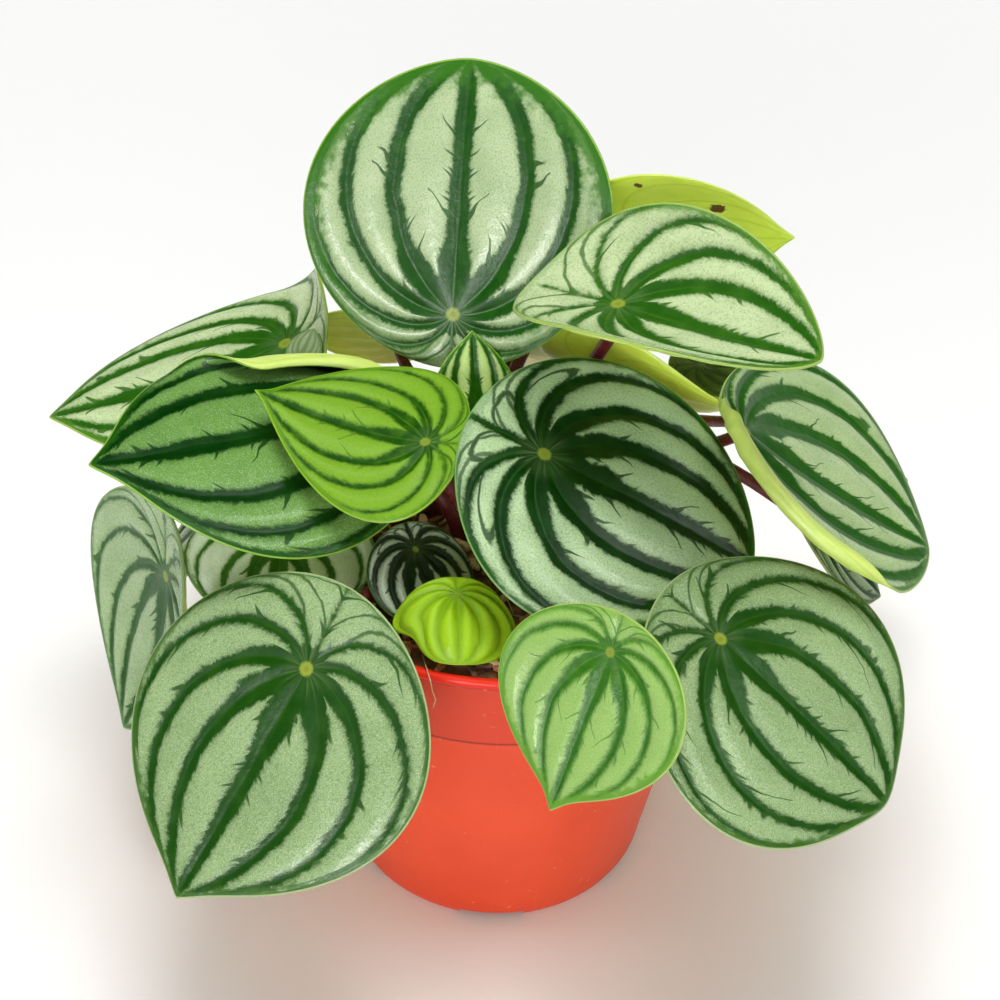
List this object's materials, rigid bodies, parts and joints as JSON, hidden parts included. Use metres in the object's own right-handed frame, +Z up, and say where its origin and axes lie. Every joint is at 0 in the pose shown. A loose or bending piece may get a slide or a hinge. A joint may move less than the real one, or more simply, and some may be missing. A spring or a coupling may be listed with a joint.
{
  "type": "potted peperomia",
  "caption": "Watermelon peperomia: round cupped leaves with silver and dark green bands on red stalks, in a tapered red plastic nursery pot of soil.",
  "frame": {"origin": "on the surface the pot stands on, at the middle of the plant's spread, which is the pot's upright axis to within a millimetre or two", "axes": "+Z up, -Y towards the front of the plant as seen, +X to its right as seen"},
  "size_m": [0.2478, 0.2118, 0.2136],
  "materials": {
    "pot_plastic": "satin injection-moulded red plastic",
    "soil": "rough peat with bark chips",
    "leaf_green": "semi-gloss living leaf, silver areas between dark green bands, pale underside",
    "leaf_lime": "semi-gloss young leaf, lime green with darker bands",
    "stalk_red": "smooth dark red stalk"
  },
  "bodies": {
    "root": {"leaf_back": "leaf_green", "leaf_back_left": "leaf_green", "leaf_back_lime": "leaf_lime", "leaf_back_right": "leaf_green", "leaf_back_upper": "leaf_green", "leaf_centre": "leaf_green", "leaf_curled_lime": "leaf_lime", "leaf_dark": "leaf_green", "leaf_far_left": "leaf_green", "leaf_front": "leaf_green", "leaf_glossy": "leaf_green", "leaf_left": "leaf_green", "leaf_left_low": "leaf_green", "leaf_lime": "leaf_lime", "leaf_lower_left": "leaf_green", "leaf_lower_right": "leaf_green", "leaf_right": "leaf_green", "leaf_right_low": "leaf_green", "leaf_shaded": "leaf_green", "leaf_silver": "leaf_green", "leaf_striped": "leaf_green", "leaf_tiny": "leaf_green", "leaf_top": "leaf_green", "leaf_upper_left": "leaf_green", "leaf_upper_right": "leaf_green", "leaf_young": "leaf_lime", "pot": "pot_plastic", "soil": "soil", "stalk_back": "stalk_red", "stalk_back_left": "stalk_red", "stalk_back_lime": "stalk_red", "stalk_back_right": "stalk_red", "stalk_back_upper": "stalk_red", "stalk_centre": "stalk_red", "stalk_curled_lime": "stalk_red", "stalk_dark": "stalk_red", "stalk_far_left": "stalk_red", "stalk_front": "stalk_red", "stalk_glossy": "stalk_red", "stalk_left": "stalk_red", "stalk_left_low": "stalk_red", "stalk_lime": "stalk_red", "stalk_lower_left": "stalk_red", "stalk_lower_right": "stalk_red", "stalk_right": "stalk_red", "stalk_right_low": "stalk_red", "stalk_shaded": "stalk_red", "stalk_silver": "stalk_red", "stalk_striped": "stalk_red", "stalk_tiny": "stalk_red", "stalk_top": "stalk_red", "stalk_upper_left": "stalk_red", "stalk_upper_right": "stalk_red", "stalk_young": "stalk_red"}
  },
  "joints": []
}
